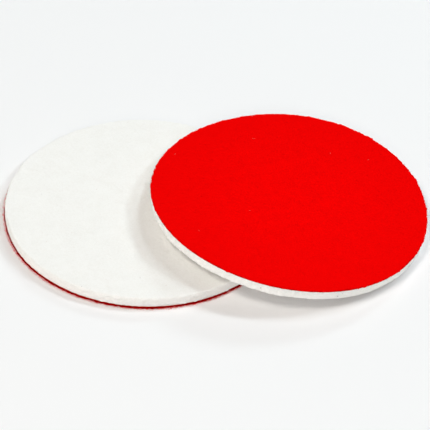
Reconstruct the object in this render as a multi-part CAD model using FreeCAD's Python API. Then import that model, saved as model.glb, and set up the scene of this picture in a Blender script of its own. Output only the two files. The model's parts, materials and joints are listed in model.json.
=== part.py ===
import FreeCAD, Part
import math
import os

os.makedirs("parts", exist_ok=True)

# A pair of felt polishing discs, in millimetres. Each disc is a pressed felt pad with a loop cloth
# glued to its back, so that a hook-faced backing plate can hold it. The lower disc lies flat,
# loop cloth down. The upper disc is turned over, loop cloth up, and leans on the lower one.
# The origin is the centre of the lower disc's loop face. +X points to the upper disc's centre.

# Both discs
disc_diameter = 125.0
felt_thickness = 4.5
glue_thickness = 0.15
ground_thickness = 0.35
pile_thickness = 0.6
felt_edge_round = 0.4

# How the upper disc lies
centre_offset = 64.4
bow_height = 3.55         # its middle stands this much above the straight line across its bow
bow_axis_angle = 54.5     # the straight line that it bows about, from +X
side_tilt = 1.0           # its near side stands a little higher than its far side
rest_clearance = 0.2      # left between the two discs where they touch

disc_radius = disc_diameter / 2
bow_radius = (disc_radius ** 2 + bow_height ** 2) / (2 * bow_height)
up = FreeCAD.Vector(0, 0, 1)

# The layers of one disc from its loop face to its felt face
layers = [
    ("loop_pile", pile_thickness),
    ("ground_cloth", ground_thickness),
    ("glue_film", glue_thickness),
    ("felt_pad", felt_thickness),
]
disc_thickness = sum(thickness for name, thickness in layers)


def rounded_felt(pad, face_edge):
    """Softens the cut edge round the felt's free face."""
    return pad.makeFillet(felt_edge_round, [face_edge])


def rim_edge(pad, z_of):
    """The closed edge round the pad that z_of picks, such as max for the highest."""
    rims = [e for e in pad.Edges if e.Length > 0.9 * math.pi * disc_diameter]
    return z_of(rims, key=lambda e: e.CenterOfMass.z)


def flat_layers():
    """The lower disc: plain round layers, one on the other, loop face at z = 0."""
    solids = {}
    z = 0.0
    for name, thickness in layers:
        base = FreeCAD.Vector(0, 0, z)
        solids[name] = Part.makeCylinder(disc_radius, thickness, base, up)
        z += thickness
    felt = solids["felt_pad"]
    solids["felt_pad"] = rounded_felt(felt, rim_edge(felt, max))
    return solids


def bow_cylinder(height):
    """A long level cylinder whose top is this far above the upper disc's felt face.

    It is turned half round so that its own seam lies underneath, away from the disc.
    """
    bow_axis = FreeCAD.Vector(0, 1, 0)
    start = FreeCAD.Vector(0, -disc_diameter, -bow_radius)
    cylinder = Part.makeCylinder(bow_radius + height, 2 * disc_diameter, start, bow_axis)
    cylinder.rotate(start, bow_axis, 180)
    return cylinder


def bowed_layers():
    """The upper disc before it is laid down: felt face underneath, with its middle at the origin.

    Each layer is the round blank between two coaxial cylinders about a level axis below the disc,
    so every layer keeps its thickness across the bow.
    """
    reach = bow_height + disc_thickness
    blank = Part.makeCylinder(disc_radius, 2 * reach, FreeCAD.Vector(0, 0, -reach), up)
    solids = {}
    height = 0.0
    for name, thickness in reversed(layers):
        inside = bow_cylinder(height)
        height += thickness
        layer = blank.common(bow_cylinder(height)).cut(inside).Solids[0]
        layer.rotate(FreeCAD.Vector(0, 0, 0), up, bow_axis_angle - 90)
        solids[name] = layer
    felt = solids["felt_pad"]
    solids["felt_pad"] = rounded_felt(felt, rim_edge(felt, min))
    return solids


def underside_points(rings=40, spokes=240):
    """Points of the upper disc's felt face as bowed, in rings from its middle to its rim."""
    bow_axis = math.radians(bow_axis_angle)
    points = []
    for ring in range(1, rings + 1):
        radius = disc_radius * ring / rings
        for spoke in range(spokes):
            angle = 2 * math.pi * spoke / spokes
            across = radius * math.sin(angle - bow_axis)
            height = math.sqrt(bow_radius ** 2 - across ** 2) - bow_radius
            points.append(FreeCAD.Vector(radius * math.cos(angle), radius * math.sin(angle), height))
    return points


def leaning(lean):
    """The turn that lowers the disc's +X side by lean degrees and keeps its own side tilt."""
    normal = FreeCAD.Vector(
        math.sin(math.radians(lean)), math.sin(math.radians(side_tilt)), 1
    ).normalize()
    along = (FreeCAD.Vector(1, 0, 0) - normal * normal.x).normalize()
    return FreeCAD.Rotation(along, normal.cross(along), normal, "ZXY")


def lifts(lean, points):
    """How far a disc with this lean has to rise to clear the table, and to clear the lower disc."""
    turn = leaning(lean)
    to_clear_table = 0.0
    to_clear_disc = 0.0
    for point in points:
        placed = turn.multVec(point)
        to_clear_table = max(to_clear_table, -placed.z)
        if math.hypot(placed.x + centre_offset, placed.y) < disc_radius:
            to_clear_disc = max(to_clear_disc, disc_thickness + rest_clearance - placed.z)
    return to_clear_table, to_clear_disc


def resting_place():
    """Leans the upper disc until it rests on the table and on the lower disc at once."""
    points = underside_points()
    least, most = 0.0, 20.0
    for halving in range(30):
        lean = (least + most) / 2
        to_clear_table, to_clear_disc = lifts(lean, points)
        if to_clear_table < to_clear_disc:
            least = lean
        else:
            most = lean
    height = max(to_clear_table, to_clear_disc)
    print("lean", round(lean, 3), "degrees, middle of the felt face at", round(height, 3), "mm")
    return FreeCAD.Placement(FreeCAD.Vector(centre_offset, 0, height), leaning(lean))


def write(name, solid):
    solid.exportStep("parts/" + name + ".step")


for name, solid in flat_layers().items():
    write("lower_" + name, solid)

laid_down = resting_place()
for name, solid in bowed_layers().items():
    solid.Placement = laid_down.multiply(solid.Placement)
    write("upper_" + name, solid)
    if name == "loop_pile":
        middle = laid_down.multVec(FreeCAD.Vector(0, 0, disc_thickness))
        print("middle of the upper loop face", middle, "facing", laid_down.Rotation.multVec(up))
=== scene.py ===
import bpy
import json
import math
import numpy as np
from mathutils import Matrix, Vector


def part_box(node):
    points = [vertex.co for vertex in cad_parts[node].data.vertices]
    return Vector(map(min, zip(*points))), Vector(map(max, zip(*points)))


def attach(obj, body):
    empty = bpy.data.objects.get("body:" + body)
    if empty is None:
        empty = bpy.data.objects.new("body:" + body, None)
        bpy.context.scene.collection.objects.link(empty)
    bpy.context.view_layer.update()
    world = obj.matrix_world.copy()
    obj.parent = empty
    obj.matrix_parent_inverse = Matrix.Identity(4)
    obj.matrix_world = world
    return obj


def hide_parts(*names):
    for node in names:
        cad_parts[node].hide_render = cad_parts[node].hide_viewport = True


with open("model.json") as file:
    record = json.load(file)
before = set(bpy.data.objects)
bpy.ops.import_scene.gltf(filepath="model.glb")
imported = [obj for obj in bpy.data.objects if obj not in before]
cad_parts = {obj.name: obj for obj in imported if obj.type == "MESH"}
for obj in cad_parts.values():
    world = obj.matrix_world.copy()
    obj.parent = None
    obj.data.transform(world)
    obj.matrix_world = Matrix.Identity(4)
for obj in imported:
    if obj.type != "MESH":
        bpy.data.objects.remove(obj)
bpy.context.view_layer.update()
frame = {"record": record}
print("frame loaded")

mm = 0.001

# A disc is first worked out in its own space: x and y across it, and h up from its loop face
# to its felt face. laidDown() and turnedOver() then carry any points of it into place.


def heights(disc, layer):
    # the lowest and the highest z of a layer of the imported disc
    low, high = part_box(disc + layer)
    return low.z, high.z


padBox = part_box("lower_felt_pad")
discRadius = (padBox[1].x - padBox[0].x) / 2
pileTop = heights("lower_", "loop_pile")[1]
groundTop = heights("lower_", "ground_cloth")[1]
glueTop = heights("lower_", "glue_film")[1]
discThickness = heights("lower_", "felt_pad")[1]

bow = {
    "height": 3.55 * mm,       # the upper disc's middle above the straight line across its bow
    "axisAngle": 54.5,         # degrees from +X
}
mounts = {m["name"]: m for m in frame["record"]["mounts"]}
upperFace = mounts["upper_loop_face"]


def unit(v):
    # each vector over its own length
    return v / np.linalg.norm(v, axis=-1, keepdims=True)


upperNormal = unit(np.array(upperFace["axis"], float))
upperAlong = unit(np.array([1.0, 0.0, 0.0]) - upperNormal * upperNormal[0])
upperSide = np.cross(upperNormal, upperAlong)
upperMiddle = np.array(upperFace["pos_m"], float) - upperNormal * discThickness
bowRadius = (discRadius ** 2 + bow["height"] ** 2) / (2 * bow["height"])
bowAxis = math.radians(bow["axisAngle"])


lie = {
    "bulge": 0.45 * mm,        # how far the lower disc's -X edge is drawn out of round
    "curl": 0.35 * mm,         # and how far that edge curls up
    "outermost": 1.1,          # neither grows past this share of the radius
}


def laidDown(p):
    # out = (distance towards -X / radius) squared; x moves by -bulge * out and z by curl * out
    # cubed, and nothing of the lower disc goes below the surface
    out = np.clip(-p[..., 0] / discRadius, 0, lie["outermost"]) ** 2
    z = np.maximum(p[..., 2], 0.0) + lie["curl"] * out ** 3
    return np.stack([p[..., 0] - lie["bulge"] * out, p[..., 1], z], axis=-1)


def turnedOver(p):
    # half a turn about x, then every point is wrapped round the bow's level axis: a point that is
    # s across the axis goes round it by the angle s / middle radius, at its own radius
    x, y = p[..., 0], -p[..., 1]
    above = discThickness - p[..., 2]
    across = y * math.cos(bowAxis) - x * math.sin(bowAxis)
    along = x * math.cos(bowAxis) + y * math.sin(bowAxis)
    angle = across / (bowRadius + discThickness / 2)
    across = (bowRadius + above) * np.sin(angle)
    rise = (bowRadius + above) * np.cos(angle) - bowRadius
    x = along * math.cos(bowAxis) - across * math.sin(bowAxis)
    y = along * math.sin(bowAxis) + across * math.cos(bowAxis)
    local = np.stack([x, y, rise], axis=-1)
    return upperMiddle + local @ np.stack([upperAlong, upperSide, upperNormal])


lays = {"lower": laidDown, "upper": turnedOver}


def addMesh(name, points, corners, sizes, smooth=True):
    # corners lists the points of every face in turn, and sizes how many of them each face has
    mesh = bpy.data.meshes.new(name)
    mesh.vertices.add(len(points))
    mesh.vertices.foreach_set("co", np.ascontiguousarray(points, np.float32).ravel())
    mesh.loops.add(len(corners))
    mesh.loops.foreach_set("vertex_index", corners.astype(np.int32))
    mesh.polygons.add(len(sizes))
    starts = np.concatenate([[0], np.cumsum(sizes)[:-1]])
    mesh.polygons.foreach_set("loop_start", starts.astype(np.int32))
    mesh.polygons.foreach_set("use_smooth", np.full(len(sizes), smooth))
    mesh.update(calc_edges=True)
    mesh.validate()
    piece = bpy.data.objects.new(name, mesh)
    bpy.context.scene.collection.objects.link(piece)
    return piece


def addAttribute(piece, name, values):
    # one number for each point
    attribute = piece.data.attributes.new(name, "FLOAT", "POINT")
    attribute.data.foreach_set("value", np.ascontiguousarray(values, np.float32).ravel())


def closedSkin(name, grid):
    # grid is rows by spokes by 3, and its first and last rows are the two poles
    rows, spokes = grid.shape[:2]
    inner = grid[1:-1].reshape(-1, 3)
    points = np.concatenate([inner, grid[0, :1], grid[-1, :1]])
    first, last = len(inner), len(inner) + 1
    ring = np.arange(spokes)
    after = (ring + 1) % spokes
    row = np.arange(rows - 3)[:, None] * spokes
    quads = np.stack([row + ring, row + after, row + spokes + after, row + spokes + ring], axis=-1)
    top = (rows - 3) * spokes
    lowFan = np.stack([np.full(spokes, first), after, ring], axis=-1)
    highFan = np.stack([top + ring, top + after, np.full(spokes, last)], axis=-1)
    corners = np.concatenate([quads.ravel(), lowFan.ravel(), highFan.ravel()])
    sizes = np.concatenate([np.full(quads.size // 4, 4), np.full(2 * spokes, 3)])
    return addMesh(name, points, corners, sizes)


def strandSkin(name, paths, thickness, carry, sides=3):
    # a thin tube round each path, drawn to a point at both ends: a ring stands on the two
    # directions square to the path, and its radius is half the strand's thickness
    count, steps = paths.shape[:2]
    ahead = unit(np.gradient(paths, axis=1))
    helper = unit(np.random.default_rng(count).normal(size=(count, 1, 3)))
    across = unit(np.cross(ahead, helper))
    third = np.cross(ahead, across)
    turn = 2 * math.pi * np.arange(sides) / sides
    reach = np.asarray(thickness, float).reshape(-1, 1, 1, 1) / 2
    spread = (across[:, 1:-1, None] * np.cos(turn)[:, None]
              + third[:, 1:-1, None] * np.sin(turn)[:, None])
    rings = paths[:, 1:-1, None] + reach * spread
    each = (steps - 2) * sides + 2
    points = np.concatenate([rings.reshape(count, -1, 3), paths[:, :1], paths[:, -1:]], axis=1)
    ring = np.arange(sides)
    after = (ring + 1) % sides
    row = np.arange(steps - 3)[:, None] * sides
    quads = np.stack([row + ring, row + after, row + sides + after, row + sides + ring], axis=-1)
    top = (steps - 3) * sides
    lowFan = np.stack([np.full(sides, each - 2), after, ring], axis=-1)
    highFan = np.stack([top + ring, top + after, np.full(sides, each - 1)], axis=-1)
    one = np.concatenate([quads.ravel(), lowFan.ravel(), highFan.ravel()])
    corners = (np.arange(count)[:, None] * each + one).ravel()
    sizes = np.tile(np.concatenate([np.full(quads.size // 4, 4), np.full(2 * sides, 3)]), count)
    piece = addMesh(name, carry(points).reshape(-1, 3), corners, sizes)
    shades = np.random.default_rng(count + 1).random(count)
    addAttribute(piece, "shade", np.repeat(shades, each))
    return piece


def ripples(p, longest, shortest, seed, count=48):
    # the sum of plane waves of random direction and phase, with wavelengths between the two
    # limits, scaled so that it spreads by about 1 to each side of 0
    chance = np.random.default_rng(seed)
    lengths = longest * (shortest / longest) ** chance.random(count)
    waves = unit(chance.normal(size=(count, 3))) * 2 * math.pi / lengths[:, None]
    phases = 2 * math.pi * chance.random(count)
    total = np.zeros(p.shape[:-1])
    for wave, phase in zip(waves, phases):
        total += np.cos(p @ wave + phase)
    return total * math.sqrt(2 / count)


def layerGrid(layer):
    # the outline of half a slice, from the middle of the low face out to the rim, up the wall and
    # in over the high face, with a quarter round at each corner; it is carried round in spokes
    radius, low, high = layer["radius"], layer["low"], layer["high"]
    lowRound, highRound = layer["lowRound"], layer["highRound"]
    quarter = np.linspace(0, math.pi / 2, layer["roundRows"] + 1)
    lowRun = np.linspace(0, 1, layer["lowRings"] + 1) * (radius - lowRound)
    highRun = np.linspace(1, 0, layer["highRings"] + 1) * (radius - highRound)
    wall = np.linspace(low + lowRound, high - highRound, layer["wallRows"] + 1)[1:-1]
    r = np.concatenate([
        lowRun[:-1], radius - lowRound + lowRound * np.sin(quarter),
        np.full(len(wall), radius),
        radius - highRound + highRound * np.cos(quarter), highRun[1:],
    ])
    h = np.concatenate([
        np.full(len(lowRun) - 1, low), low + lowRound - lowRound * np.cos(quarter),
        wall,
        high - highRound + highRound * np.sin(quarter), np.full(len(highRun) - 1, high),
    ])
    outR = np.concatenate([
        np.zeros(len(lowRun) - 1), np.sin(quarter), np.ones(len(wall)),
        np.cos(quarter), np.zeros(len(highRun) - 1),
    ])
    outH = np.concatenate([
        np.full(len(lowRun) - 1, -1.0), -np.cos(quarter), np.zeros(len(wall)),
        np.sin(quarter), np.ones(len(highRun) - 1),
    ])
    turn = 2 * math.pi * np.arange(layer["spokes"]) / layer["spokes"]
    cos, sin = np.cos(turn), np.sin(turn)
    points = np.stack([r[:, None] * cos, r[:, None] * sin, h[:, None] + 0 * cos], axis=-1)
    out = np.stack([outR[:, None] * cos, outR[:, None] * sin, outH[:, None] + 0 * cos], axis=-1)
    return points, out


def layerPiece(name, layer, carry, relief, rimPaintedShade=0.0):
    # every point of the outline moves along its own outward direction by relief(points, out); the
    # reach attribute is the distance from the middle as a share of the radius, and depthAndShade is 0 on
    # the low face, rimPaintedShade on the wall (painted shade that darkens the rim) and 1 on the high face
    points, out = layerGrid(layer)
    moved = points + out * relief(points, out)[..., None]
    moved[0] = moved[0, :1]
    moved[-1] = moved[-1, :1]
    piece = closedSkin(name, carry(moved))
    reach = np.hypot(points[..., 0], points[..., 1]) / layer["radius"]
    addAttribute(piece, "reach", np.concatenate([reach[1:-1].ravel(), reach[0, :1], reach[-1, :1]]))
    depthAndShade = np.clip(np.hypot(out[..., 0], out[..., 1]) * rimPaintedShade + np.clip(out[..., 2], 0, 1), 0, 1)
    addAttribute(piece, "depthAndShade", np.concatenate([depthAndShade[1:-1].ravel(), depthAndShade[0, :1], depthAndShade[-1, :1]]))
    return piece


felt = {
    "radius": discRadius,
    "low": glueTop,
    "high": discThickness,
    "lowRound": 0.1 * mm,
    "highRound": 0.7 * mm,       # the cut edge of the working face is softened
    "roundRows": 5,
    "lowRings": 6,
    "highRings": 66,
    "wallRows": 11,
    "spokes": 800,
    "faceSwell": 0.04 * mm,      # slow unevenness of the pressed face
    "faceGrain": 0.018 * mm,     # tufts
    "rimSwell": 0.09 * mm,       # the die's wavering cut
    "rimGrain": 0.12 * mm,
    "rimPinch": 0.03 * mm,       # the middle of the wall draws in under the cut
    "slowWaves": (26 * mm, 9 * mm),
    "fineWaves": (3.2 * mm, 1.2 * mm),
}


def feltRelief(seed):
    # slow ripples * swell + fine ripples * grain, each with its own depth on the face and on the
    # wall, less pinch * sin(pi * share of the wall's height); the glued face has no ripples
    def relief(p, out):
        wall = np.hypot(out[..., 0], out[..., 1])
        middle = (p[..., 2] - felt["low"]) / (felt["high"] - felt["low"])
        swell = felt["faceSwell"] * (1 - wall) + felt["rimSwell"] * wall
        grain = felt["faceGrain"] * (1 - wall) + felt["rimGrain"] * wall
        slow = ripples(p, *felt["slowWaves"], seed) * swell
        fine = ripples(p, *felt["fineWaves"], seed + 1) * grain
        pinch = -felt["rimPinch"] * wall * np.sin(math.pi * np.clip(middle, 0, 1))
        glued = np.where(out[..., 2] < -0.5, 0.0, 1.0)
        return (slow + fine) * glued + pinch
    return relief


pile = {
    "radius": discRadius,
    "low": 0.1 * mm,             # the nap, with the loops standing up from it to the loop face
    "high": pileTop,
    "lowRound": 0.18 * mm,
    "highRound": 0.04 * mm,
    "roundRows": 3,
    "lowRings": 66,
    "highRings": 5,
    "wallRows": 3,
    "spokes": 800,
    "swell": 0.04 * mm,
    "grain": 0.03 * mm,
    "rimSwell": 0.12 * mm,       # its cut edge wavers by this, so red and white meet unevenly
    "rimGrain": 0.15 * mm,
    "slowWaves": (14 * mm, 5 * mm),
    "fineWaves": (2.6 * mm, 1.3 * mm),
    "rimSlowWaves": (9 * mm, 4 * mm),
    "rimFineWaves": (2.6 * mm, 1.1 * mm),
    "rimFlat": np.array([1, 1, 0.2]),   # the rim's ripples change slowly up the wall
}


def pileRelief(seed, spread, ragged):
    # slow ripples * swell + fine ripples * grain on the loop face, and on the wall the rim's own
    # ripples * ragged + spread; the face against the ground cloth stays flat
    def relief(p, out):
        wall = np.hypot(out[..., 0], out[..., 1])
        flat = p * pile["rimFlat"]
        slow = ripples(p, *pile["slowWaves"], seed) * pile["swell"] * (1 - wall)
        fine = ripples(p, *pile["fineWaves"], seed + 1) * pile["grain"] * (1 - wall)
        rim = ripples(flat, *pile["rimSlowWaves"], seed + 2) * pile["rimSwell"]
        rim += ripples(flat, *pile["rimFineWaves"], seed + 3) * pile["rimGrain"]
        backed = np.where(out[..., 2] > 0.5, 0.0, 1.0)
        return (slow + fine) * backed + (rim * ragged + spread) * wall
    return relief


ground = {
    "radius": discRadius + 0.1 * mm,   # the knit's cut ends stand out a little
    "low": pileTop,
    "high": groundTop,
    "lowRound": 0.05 * mm,
    "highRound": 0.05 * mm,
    "roundRows": 2,
    "lowRings": 6,
    "highRings": 6,
    "wallRows": 3,
    "spokes": 640,
    "waver": 0.05 * mm,                # its courses at the cut edge
    "waves": (3 * mm, 1.3 * mm),
}

glue = {
    "radius": discRadius - 0.05 * mm,
    "low": groundTop,
    "high": glueTop,
    "lowRound": 0.03 * mm,
    "highRound": 0.03 * mm,
    "roundRows": 2,
    "lowRings": 6,
    "highRings": 6,
    "wallRows": 2,
    "spokes": 480,
    "waver": 0.06 * mm,
    "waves": (9 * mm, 3 * mm),
}


def edgeRelief(layer, seed):
    # ripples * waver on the wall alone: the two faces stay bonded to their neighbours
    def relief(p, out):
        wall = np.hypot(out[..., 0], out[..., 1])
        return ripples(p, *layer["waves"], seed) * layer["waver"] * wall
    return relief


def spreadOver(chance, count, radius):
    # points spread evenly over a round face: the radius goes as the square root of a random share
    r = radius * np.sqrt(chance.random(count))
    turn = 2 * math.pi * chance.random(count)
    return r * np.cos(turn), r * np.sin(turn)


faceFibres = {
    "count": 4200,
    "length": (1.2 * mm, 4.5 * mm),
    "thickness": (0.025 * mm, 0.05 * mm),
    "lift": 0.05 * mm,           # how far the middle of a fibre stands off the face
    "liftShare": (0.3, 1.0),
    "curl": 2.4,                 # the turn along a fibre, in radians
    "inset": 1.2 * mm,
}


def facePaths(seed, steps=6):
    # a fibre lies on the face as an arc of changing direction, and rises and dips back in as sin
    chance = np.random.default_rng(seed)
    count = faceFibres["count"]
    radius = discRadius - faceFibres["inset"]
    x, y = spreadOver(chance, count, radius)
    length = chance.uniform(*faceFibres["length"], count)[:, None]
    start = 2 * math.pi * chance.random(count)[:, None]
    bend = chance.normal(0, faceFibres["curl"] / 2, count)[:, None]
    share = np.linspace(0, 1, steps)[None]
    heading = start + bend * share
    stepX = np.cumsum(np.cos(heading), axis=1) / steps * length
    stepY = np.cumsum(np.sin(heading), axis=1) / steps * length
    lift = chance.uniform(*faceFibres["liftShare"], count)[:, None] * faceFibres["lift"]
    height = lift * np.sin(math.pi * share)
    px, py = x[:, None] + stepX, y[:, None] + stepY
    far = np.hypot(px, py)
    inside = np.minimum(1, radius / np.maximum(far, 1e-9))
    return np.stack([px * inside, py * inside, felt["high"] + height], axis=-1)


rimFibres = {
    "count": 3000,
    "length": (0.3 * mm, 1.3 * mm),
    "thickness": (0.025 * mm, 0.05 * mm),
    "reach": (0.12, 0.5),        # how much of a fibre's length stands out from the wall
    "droop": 0.35,
    "inset": 0.12 * mm,
    "above": 0.2 * mm,           # they start this far above the felt's low edge
    "below": 0.5 * mm,           # and this far below its high edge
}
strandLean = {
    "slide": 0.75,               # the spread of how far a strand runs along the rim
    "curlOver": 2.2,             # its outward run ends this far round a sine, in radians
}


def rimPaths(seed, strands, low, high, radius, steps=5):
    # a fibre leaves the wall outward, leans along the rim and up or down, and curls back over:
    # place = start + out * sin(share) + along * share + up * share squared
    chance = np.random.default_rng(seed)
    count = strands["count"]
    turn = 2 * math.pi * chance.random(count)
    h = chance.uniform(low, high, count)
    out = np.stack([np.cos(turn), np.sin(turn), 0 * turn], axis=-1)
    along = np.stack([-np.sin(turn), np.cos(turn), 0 * turn], axis=-1)
    length = chance.uniform(*strands["length"], count)[:, None, None]
    share = np.linspace(0, 1, steps)[None, :, None]
    reach = chance.uniform(*strands["reach"], count)[:, None, None]
    slide = chance.normal(0, strandLean["slide"], count)[:, None, None]
    rise = chance.normal(0, strands["droop"], count)[:, None, None]
    start = out * radius
    start[:, 2] = h
    up = np.array([0.0, 0.0, 1.0])
    outward = out[:, None] * reach * np.sin(share * strandLean["curlOver"])
    return start[:, None] + length * (outward + along[:, None] * slide * share + up * rise * share ** 2)


loops = {
    "count": 7000,
    "width": (0.35 * mm, 0.8 * mm),
    "height": (0.1 * mm, 0.24 * mm),
    "thickness": (0.05 * mm, 0.08 * mm),
    "lean": 0.5,
    "foot": 0.05 * mm,           # its ends are sunk this far in the nap
    "inset": 0.3 * mm,
}


def loopPaths(seed, steps=5):
    # a loop is half an ellipse that stands on the nap and leans to one side: run = -cos * width / 2,
    # rise = sin * height and aside = rise * lean
    chance = np.random.default_rng(seed)
    count = loops["count"]
    level = pile["low"] + loops["foot"]
    x, y = spreadOver(chance, count, discRadius - loops["inset"])
    heading = 2 * math.pi * chance.random(count)
    width = chance.uniform(*loops["width"], count)
    height = chance.uniform(*loops["height"], count)
    lean = chance.normal(0, loops["lean"], count)
    swing = np.linspace(0, math.pi, steps)[None]
    run = -np.cos(swing) * width[:, None] / 2
    rise = np.sin(swing) * height[:, None]
    aside = rise * lean[:, None]
    cos, sin = np.cos(heading)[:, None], np.sin(heading)[:, None]
    px = x[:, None] + run * cos - aside * sin
    py = y[:, None] + run * sin + aside * cos
    return np.stack([px, py, level - rise], axis=-1)


lint = {
    "thickness": 0.16 * mm,
    "stand": 0.04 * mm,          # how far its middle line stands off the loop face
    "bits": [                    # across the loop face as it lies: x, y, heading, length, curl
        (-52.1, 26.2, 0.9, 1.6, 0.6),
        (-15.7, 42.3, -0.5, 2.6, 2.2),
        (20.6, 32.5, 1.8, 1.2, 0.4),
        (37.3, 30.8, 0.4, 1.3, 0.9),
        (-42.0, -29.2, -1.1, 1.4, 0.5),
        (-18.3, -13.9, 2.6, 1.1, 0.8),
    ],
}

flecks = {
    "thickness": 0.2 * mm,
    "stand": 0.02 * mm,
    "curl": 0.5,
    # x, y, heading and length on the lower felt face
    "onFace": [(-27.4, -55.6, 0.4, 0.7), (-2.3, -49.6, 1.2, 0.5), (-46.7, 5.4, 2.1, 0.5)],
    # degrees round the upper felt's wall, height and length
    "onRim": [(-70.9, 2.6, 0.9), (-72.8, 3.9, 0.6), (-54.6, 2.4, 0.7), (-104.2, 3.4, 0.6)],
}
arcSteps = 7


def arcPath(x, y, heading, length, curl, level):
    # equal steps whose heading turns by curl from one end to the other
    angle = heading + curl * np.linspace(-0.5, 0.5, arcSteps)
    px = x + np.cumsum(np.cos(angle)) / arcSteps * length
    py = y + np.cumsum(np.sin(angle)) / arcSteps * length
    return np.stack([px, py, level + 0 * px], axis=-1)


class Wire:
    # a socket that takes part in sums
    def __init__(self, owner, socket):
        self.owner = owner
        self.socket = socket

    def __add__(self, other):
        return self.owner.maths("ADD", self, other)

    def __radd__(self, other):
        return self.owner.maths("ADD", other, self)

    def __sub__(self, other):
        return self.owner.maths("SUBTRACT", self, other)

    def __rsub__(self, other):
        return self.owner.maths("SUBTRACT", other, self)

    def __mul__(self, other):
        return self.owner.maths("MULTIPLY", self, other)

    def __rmul__(self, other):
        return self.owner.maths("MULTIPLY", other, self)

    def __pow__(self, other):
        return self.owner.maths("POWER", self, other)


class Nodes:
    # a node tree, with one method for any node and a few short ones on top of it
    def __init__(self, tree, shader):
        self.tree = tree
        self.shader = tree.nodes[shader]

    def node(self, kind, settings=None, sockets=None, output=0):
        made = self.tree.nodes.new(kind)
        for key, value in (settings or {}).items():
            setattr(made, key, value)
        for key, value in (sockets or {}).items():
            if isinstance(value, Wire):
                self.tree.links.new(value.socket, made.inputs[key])
            else:
                made.inputs[key].default_value = value
        return Wire(self, made.outputs[output])

    def maths(self, operation, a, b=0.0):
        return self.node("ShaderNodeMath", {"operation": operation}, {0: a, 1: b})

    def place(self):
        # Object coordinates in millimetres
        where = self.node("ShaderNodeTexCoord", output="Object")
        return self.node("ShaderNodeVectorMath", {"operation": "SCALE"}, {0: where, "Scale": 1000.0})

    def carried(self, name):
        # a value that the mesh holds at each point
        return self.node("ShaderNodeAttribute", {"attribute_name": name}, None, "Fac")

    def noise(self, where, perMm, detail=2.0, twist=0.0):
        return self.node("ShaderNodeTexNoise", None, {
            "Vector": where, "Scale": perMm, "Detail": detail, "Distortion": twist,
        })

    def between(self, value, low, high):
        # 0 below low and 1 above high, with a smooth step from one to the other
        return self.node("ShaderNodeMapRange", {"interpolation_type": "SMOOTHSTEP"}, {
            "Value": value, "From Min": low, "From Max": high,
        })

    def mix(self, share, a, b):
        # a * (1 - share) + b * share, for two colours
        return self.node("ShaderNodeMix", {"data_type": "RGBA"}, {0: share, 6: a, 7: b}, output=2)

    def bump(self, height, strength, distance, under=None):
        sockets = {"Height": height, "Strength": strength, "Distance": distance}
        if under is not None:
            sockets["Normal"] = under
        return self.node("ShaderNodeBump", None, sockets)

    def feed(self, socket, wire):
        self.tree.links.new(wire.socket, self.shader.inputs[socket])


class Finish(Nodes):
    # a material, with the constants of its shader given by name
    def __init__(self, name, **constants):
        self.material = bpy.data.materials.new(name)
        self.material.use_nodes = True
        super().__init__(self.material.node_tree, "Principled BSDF")
        for socket, value in constants.items():
            self.shader.inputs[socket.replace("_", " ")].default_value = value

    def strandColour(self, look, dark, light):
        # dark to light by each strand's own shade and, for the rest, a slow patchiness
        share = look["shadeShare"]
        shade = self.carried("shade")
        patch = self.noise(self.place(), look["patch"])
        return self.mix(shade * share + patch * (1 - share), look[dark], look[light])


feltLook = {
    "light": (0.925, 0.921, 0.893, 1),
    "dark": (0.885, 0.876, 0.842, 1),
    "speck": (0.55, 0.38, 0.33, 1),
    "cloud": 0.16,               # this and the next two are features per mm
    "tuft": 1.5,
    "fibre": 6.0,
    "tuftTwist": 1.1,
    "fibreTwist": 2.2,
    "cloudShare": 0.25,          # the rest of the shade is the tufts'
    "shadeSpan": (0.36, 0.60),
    "speckCells": 0.3,
    "speckSize": (0.04, 0.08),
    "speckPicked": (0.62, 0.66),   # only cells with a random value above this have a speck
    "speckShare": 0.4,
    "tuftBump": 0.5,
    "tuftRelief": 0.12 * mm,
    "fibreBump": 0.45,
    "fibreRelief": 0.06 * mm,
    "smoothest": 0.9,
    "roughening": 0.1,
}


def feltFinish():
    # colour = dark to light by the shade, a share of cloud and a share of tuft, then faint specks
    finish = Finish("whitePressedFelt", Roughness=0.95, Specular_IOR_Level=0.15,
                    Sheen_Weight=0.12, Sheen_Roughness=0.6)
    where = finish.place()
    cloud = finish.noise(where, feltLook["cloud"], 3.0)
    tuft = finish.noise(where, feltLook["tuft"], 3.0, feltLook["tuftTwist"])
    fibre = finish.noise(where, feltLook["fibre"], 2.0, feltLook["fibreTwist"])
    share = feltLook["cloudShare"]
    shade = finish.between(cloud * share + tuft * (1 - share), *feltLook["shadeSpan"])
    colour = finish.mix(shade, feltLook["dark"], feltLook["light"])
    cells = {"Vector": where, "Scale": feltLook["speckCells"]}
    near = finish.node("ShaderNodeTexVoronoi", None, cells, "Distance")
    which = finish.node("ShaderNodeTexVoronoi", None, cells, "Color")
    picked = finish.between(which, *feltLook["speckPicked"])
    speck = (1 - finish.between(near, *feltLook["speckSize"])) * picked * feltLook["speckShare"]
    colour = finish.mix(speck, colour, feltLook["speck"])
    finish.feed("Base Color", colour)
    coarse = finish.bump(tuft, feltLook["tuftBump"], feltLook["tuftRelief"])
    relief = finish.bump(fibre, feltLook["fibreBump"], feltLook["fibreRelief"], coarse)
    finish.feed("Normal", relief)
    finish.feed("Roughness", feltLook["smoothest"] + tuft * feltLook["roughening"])
    return finish.material


fibreLook = {
    "light": (0.95, 0.945, 0.92, 1),
    "dark": (0.87, 0.86, 0.82, 1),
    "shadeShare": 0.7,           # the rest is a slow patchiness
    "patch": 0.4,                # features per mm
}


def fibreFinish():
    finish = Finish("looseWoolFibre", Roughness=0.8, Specular_IOR_Level=0.25, Sheen_Weight=0.1)
    finish.feed("Base Color", finish.strandColour(fibreLook, "dark", "light"))
    return finish.material


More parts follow.
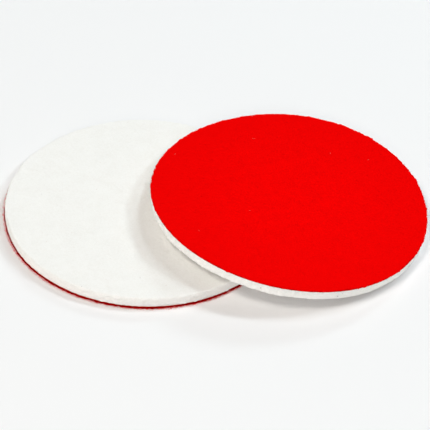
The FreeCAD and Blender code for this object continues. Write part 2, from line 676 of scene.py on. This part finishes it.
pileLook = {
    "tip": (0.93, 0.001, 0.001, 1),
    "low": (0.84, 0.001, 0.001, 1),
    # the dark red of the yarn's roots, and also the painted shade on the rim
    "rootAndShade": (0.25, 0.002, 0.002, 1),
    "brushed": 0.2,              # this and the next two are features per mm
    "nap": 1.5,
    "fine": 5.0,
    "brushedTwist": 0.8,
    "napTwist": 0.6,
    "fineTwist": 0.8,
    "brushedShare": 0.35,        # the rest of the shade is the nap's
    "shadeSpan": (0.36, 0.6),
    "edgeShadeSpan": (0.25, 1.0),     # painted shade: the loop face darkens towards its rim
    "edgeShadeShare": 0.8,
    "napBump": 0.4,
    "napRelief": 0.2 * mm,
    "fineBump": 0.35,
    "fineRelief": 0.08 * mm,
    "shadeShare": 0.6,
    "patch": 0.5,
}


def pileFinish():
    # colour = low to tip by shade * (1 - edgeShade), where edgeShade is painted shade that darkens the
    # loop face towards its rim, then to rootAndShade's dark red by depthAndShade, painted shade on the
    # wall
    finish = Finish("redBrushedLoops", Roughness=1.0, Specular_IOR_Level=0.0)
    where = finish.place()
    brushed = finish.noise(where, pileLook["brushed"], 3.0, pileLook["brushedTwist"])
    nap = finish.noise(where, pileLook["nap"], 3.0, pileLook["napTwist"])
    fine = finish.noise(where, pileLook["fine"], 2.0, pileLook["fineTwist"])
    share = pileLook["brushedShare"]
    shade = finish.between(brushed * share + nap * (1 - share), *pileLook["shadeSpan"])
    # painted shade, darker towards the rim
    edgeShade = finish.between(finish.carried("reach"), *pileLook["edgeShadeSpan"]) * pileLook["edgeShadeShare"]
    colour = finish.mix(shade * (1 - edgeShade), pileLook["low"], pileLook["tip"])
    colour = finish.mix(finish.carried("depthAndShade"), colour, pileLook["rootAndShade"])
    finish.feed("Base Color", colour)
    coarse = finish.bump(nap, pileLook["napBump"], pileLook["napRelief"])
    finish.feed("Normal", finish.bump(fine, pileLook["fineBump"], pileLook["fineRelief"], coarse))
    return finish.material


def loopFinish():
    finish = Finish("redLoopYarn", Roughness=1.0, Specular_IOR_Level=0.0)
    finish.feed("Base Color", finish.strandColour(pileLook, "low", "tip"))
    return finish.material


groundLook = {
    # both colours are darker than the pile's red as painted shade on the backing's recessed cut edge; the
    # stitches mix them at random
    "yarn": (0.66, 0.004, 0.003, 1),
    "gapShade": (0.36, 0.003, 0.002, 1),
    "stitch": 2.6,               # features per mm
    "twist": 0.4,
    "span": (0.35, 0.65),
    "bump": 0.5,
    "relief": 0.1 * mm,
}


def groundFinish():
    # colour = gapShade to yarn by the stitches, then to rootAndShade's dark red by depthAndShade, painted
    # shade on the wall
    finish = Finish("redGroundKnit", Roughness=0.95, Specular_IOR_Level=0.1)
    stitch = finish.noise(finish.place(), groundLook["stitch"], 2.0, groundLook["twist"])
    colour = finish.mix(finish.between(stitch, *groundLook["span"]), groundLook["gapShade"],
                        groundLook["yarn"])
    colour = finish.mix(finish.carried("depthAndShade"), colour, pileLook["rootAndShade"])
    finish.feed("Base Color", colour)
    finish.feed("Normal", finish.bump(stitch, groundLook["bump"], groundLook["relief"]))
    return finish.material


glueLook = {
    "deep": (0.55, 0.06, 0.05, 1),   # a clear film takes the red of the cloth behind it
    "pale": (0.70, 0.14, 0.11, 1),
    "cloudy": 1.2,                   # features per mm
    "smoothest": 0.4,
    "roughening": 0.3,
}


def glueFinish():
    finish = Finish("clearGlueFilm", Roughness=0.5, Specular_IOR_Level=0.4)
    cloudy = finish.noise(finish.place(), glueLook["cloudy"], 2.0)
    finish.feed("Base Color", finish.mix(cloudy, glueLook["deep"], glueLook["pale"]))
    finish.feed("Roughness", glueLook["smoothest"] + cloudy * glueLook["roughening"])
    return finish.material


bitLook = {
    "paleLint": ((0.95, 0.05, 0.04, 1), (0.95, 0.20, 0.16, 1)),
    "darkFleck": ((0.16, 0.13, 0.14, 1), (0.34, 0.24, 0.24, 1)),
    "patch": 2.5,                # features per mm
}


def bitFinish(name):
    finish = Finish(name, Roughness=0.9, Specular_IOR_Level=0.2)
    patch = finish.noise(finish.place(), bitLook["patch"], 2.0)
    finish.feed("Base Color", finish.mix(patch, *bitLook[name]))
    return finish.material


finishes = {
    "felt": feltFinish(),
    "fibre": fibreFinish(),
    "pile": pileFinish(),
    "loops": loopFinish(),
    "ground": groundFinish(),
    "glue": glueFinish(),
    "lint": bitFinish("paleLint"),
    "fleck": bitFinish("darkFleck"),
}


def finished(piece, look, disc, stoodFor=None):
    # a piece with its material, its body and, when it has one, the CAD piece it replaces
    piece.data.materials.append(finishes[look])
    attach(piece, disc + "_disc")
    if stoodFor:
        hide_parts(disc + "_" + stoodFor)
    return piece


backing = {
    # where the disc's weight presses its backing down, it spreads and frays at the rim; the rim is
    # darkened by painted shade, and the lower disc's fray lies out far enough to add a painted reddish
    # contact shadow round it; ragged scales the waver of the pile's cut edge
    "lower": {
        "spread": 0.42 * mm,
        "ragged": 0.6,
        # painted shade: the lower disc's wall darkens nearly to the root's dark red
        "rimPaintedShade": 0.92,
        # the lower fray's long, low strands are partly fuzz and partly laid out to add a painted darker,
        # redder contact shadow round the rim
        "fray": {
            "count": 6500, "length": (0.4 * mm, 1.9 * mm), "thickness": (0.025 * mm, 0.045 * mm),
            "reach": (0.25, 0.85), "droop": 0.1,
        },
    },
    "upper": {
        "spread": 0.2 * mm,
        "ragged": 1.0,
        # painted shade: a slight darkening of the upper disc's wall
        "rimPaintedShade": 0.1,
        "fray": {
            "count": 3600, "length": (0.25 * mm, 0.8 * mm), "thickness": (0.05 * mm, 0.09 * mm),
            "reach": (0.12, 0.5), "droop": 0.35,
        },
    },
}


frayFoot = 0.12 * mm             # the fray starts this far above the loop face
seeds = {                        # added to the disc's own seed
    "felt": 0, "glue": 5, "ground": 6, "pile": 7,
    "thickness": 20, "faceFibres": 21, "rimFibres": 22, "loops": 23, "fray": 24,
}


def buildDisc(disc, seed):
    # the four layers, each in its own seed's relief, and then the strands on them
    carry = lays[disc]
    back = backing[disc]
    rimPaintedShade = back["rimPaintedShade"]
    feltPad = layerPiece(disc + "FeltPad", felt, carry, feltRelief(seed + seeds["felt"]))
    finished(feltPad, "felt", disc, "felt_pad")
    glueFilm = layerPiece(disc + "GlueFilm", glue, carry, edgeRelief(glue, seed + seeds["glue"]))
    finished(glueFilm, "glue", disc, "glue_film")
    groundCloth = layerPiece(disc + "GroundCloth", ground, carry,
                             edgeRelief(ground, seed + seeds["ground"]), rimPaintedShade)
    finished(groundCloth, "ground", disc, "ground_cloth")
    edge = pileRelief(seed + seeds["pile"], back["spread"], back["ragged"])
    nap = layerPiece(disc + "LoopPile", pile, carry, edge, rimPaintedShade)
    finished(nap, "pile", disc, "loop_pile")

    chance = np.random.default_rng(seed + seeds["thickness"])

    def strands(name, paths, thickness, look):
        piece = strandSkin(disc + name, paths, chance.uniform(*thickness, len(paths)), carry)
        return finished(piece, look, disc)

    face = facePaths(seed + seeds["faceFibres"])
    faceFuzz = strands("FaceFibres", face, faceFibres["thickness"], "fibre")
    rim = rimPaths(seed + seeds["rimFibres"], rimFibres, felt["low"] + rimFibres["above"],
                   felt["high"] - rimFibres["below"], discRadius - rimFibres["inset"])
    rimFuzz = strands("RimFibres", rim, rimFibres["thickness"], "fibre")
    standing = loopPaths(seed + seeds["loops"])
    faceLoops = strands("FaceLoops", standing, loops["thickness"], "loops")
    frayed = rimPaths(seed + seeds["fray"], back["fray"], frayFoot, pileTop,
                      discRadius + back["spread"] / 2)
    rimLoops = strands("RimLoops", frayed, back["fray"]["thickness"], "loops")

    print(disc, "disc built")


buildDisc("lower", 100)
buildDisc("upper", 200)


def bits(name, paths, thickness, look, disc):
    piece = strandSkin(name, np.stack(paths), np.full(len(paths), thickness), lays[disc])
    finished(piece, look, disc)


def addLint():
    # short bits of lint lie on the upper disc's loop face, and a few dark flecks on the felt
    level = -lint["stand"]
    bits("upperLint", [
        arcPath(x * mm, -y * mm, -turn, size * mm, -curl, level) for x, y, turn, size, curl in lint["bits"]
    ], lint["thickness"], "lint", "upper")
    level = discThickness + flecks["stand"]
    bits("lowerFlecks", [
        arcPath(x * mm, y * mm, turn, size * mm, flecks["curl"], level)
        for x, y, turn, size in flecks["onFace"]
    ], flecks["thickness"], "fleck", "lower")
    marks = []
    for angle, height, size in flecks["onRim"]:
        sweep = math.radians(-angle) + np.linspace(-0.5, 0.5, arcSteps) * size * mm / discRadius
        r = discRadius + flecks["stand"]
        marks.append(np.stack([r * np.cos(sweep), r * np.sin(sweep), height * mm + 0 * sweep], axis=-1))
    bits("upperFlecks", marks, flecks["thickness"], "fleck", "upper")


addLint()
print("lint and flecks laid")


studio = {
    "floorHalf": 1.5,
    "floorTop": -0.05 * mm,
    "floorColour": (0.912, 0.911, 0.915, 1),
    "floorDim": 0.985,           # the darkest patches against the palest
    "floorPatch": 0.004,         # patches per mm
    "overhead": 0.04,            # the world's brightness straight up
    "horizon": 0.97,             # and level with the floor
    "horizonFade": 3.0,
}

lampsAt = {"middle": (0.05, 0.03, 0.0), "far": 2.4}
lamps = {                        # turn is in degrees round from +X towards +Y
    "right": {"turn": 15, "rise": 42, "size": 0.38, "energy": 14.5, "colour": (0.87, 0.955, 1.0)},
    "back": {"turn": 65, "rise": 30, "size": 0.38, "energy": 12.0, "colour": (0.81, 0.945, 1.0)},
    "high": {"turn": 40, "rise": 55, "size": 0.38, "energy": 10.2, "colour": (0.84, 0.94, 1.0)},
    "fill": {"turn": 210, "rise": 60, "size": 0.9, "energy": 23.8, "colour": (1.0, 0.965, 0.91)},
    "left": {"turn": 225, "rise": 35, "size": 0.9, "energy": 4.8, "colour": (1.0, 0.88, 0.80)},
    "front": {"turn": -90, "rise": 35, "size": 0.9, "energy": 13.4, "colour": (1.0, 0.94, 0.90)},
}


def addFloor():
    # a flat square just under the lower disc
    half = studio["floorHalf"]
    corners = np.array([[-half, -half, 0], [half, -half, 0], [half, half, 0], [-half, half, 0]], float)
    corners[:, 2] = studio["floorTop"]
    floor = addMesh("floor", corners, np.arange(4), np.array([4]), smooth=False)
    finish = Finish("paleFloor", Roughness=0.9, Specular_IOR_Level=0.0)
    cloud = finish.noise(finish.place(), studio["floorPatch"], 2.0)
    tone = studio["floorColour"]
    dim = tuple(c * studio["floorDim"] for c in tone[:3]) + (1,)
    finish.feed("Base Color", finish.mix(cloud, dim, tone))
    floor.data.materials.append(finish.material)


def aimed(position, target, roll=0.0):
    # the matrix of something at position that looks at target, turned about its own line of sight
    back = unit(np.array(position, float) - np.array(target, float))
    right = unit(np.cross([0, 0, 1], back))
    up = np.cross(back, right)
    cos, sin = math.cos(roll), math.sin(roll)
    columns = np.eye(4)
    columns[:3, 0] = cos * right + sin * up
    columns[:3, 1] = cos * up - sin * right
    columns[:3, 2] = back
    columns[:3, 3] = position
    return Matrix(columns.tolist())


def around(target, turn, rise, far):
    # target + far * (cos turn * cos rise, sin turn * cos rise, sin rise)
    turn, rise = math.radians(turn), math.radians(rise)
    away = np.array([math.cos(turn) * math.cos(rise), math.sin(turn) * math.cos(rise), math.sin(rise)])
    return np.array(target) + far * away


def addLamp(name, lamp):
    # a round lamp that looks at the middle of the pair
    data = bpy.data.lights.new(name, "AREA")
    data.shape = "DISK"
    data.size = lamp["size"]
    data.energy = lamp["energy"]
    data.color = lamp["colour"]
    made = bpy.data.objects.new(name, data)
    spot = around(lampsAt["middle"], lamp["turn"], lamp["rise"], lampsAt["far"])
    made.matrix_world = aimed(spot, lampsAt["middle"])
    bpy.context.scene.collection.objects.link(made)


view = {
    "lens": 167.4,
    "sensor": 36,
    "nearest": 0.01,
    "distance": 0.9054,
    "turn": -93.41,              # degrees round from +X
    "rise": 40.28,
    "roll": 3.39,
    "target": (0.0315, 0.0002, 0.0),
}


def addCamera():
    data = bpy.data.cameras.new("camera")
    data.lens = view["lens"]
    data.sensor_width = view["sensor"]
    data.clip_start = view["nearest"]
    camera = bpy.data.objects.new("camera", data)
    spot = around(view["target"], view["turn"], view["rise"], view["distance"])
    camera.matrix_world = aimed(spot, view["target"], math.radians(view["roll"]))
    bpy.context.scene.collection.objects.link(camera)
    bpy.context.scene.camera = camera


def addWorld():
    # brightness = overhead + (horizon - overhead) * (1 - |height|) to a power, for a unit direction
    world = bpy.data.worlds.new("studio")
    world.use_nodes = True
    sky = Nodes(world.node_tree, "Background")
    away = sky.node("ShaderNodeTexCoord", output="Generated")
    level = 1 - sky.maths("ABSOLUTE", sky.node("ShaderNodeSeparateXYZ", None, {0: away}, "Z"))
    glow = studio["horizon"] - studio["overhead"]
    sky.feed("Strength", level ** studio["horizonFade"] * glow + studio["overhead"])
    sky.shader.inputs["Color"].default_value = (1, 1, 1, 1)
    bpy.context.scene.world = world
    bpy.context.scene.view_settings.view_transform = "Standard"


addFloor()
addWorld()
for name, lamp in lamps.items():
    addLamp(name, lamp)
addCamera()
print("studio set")
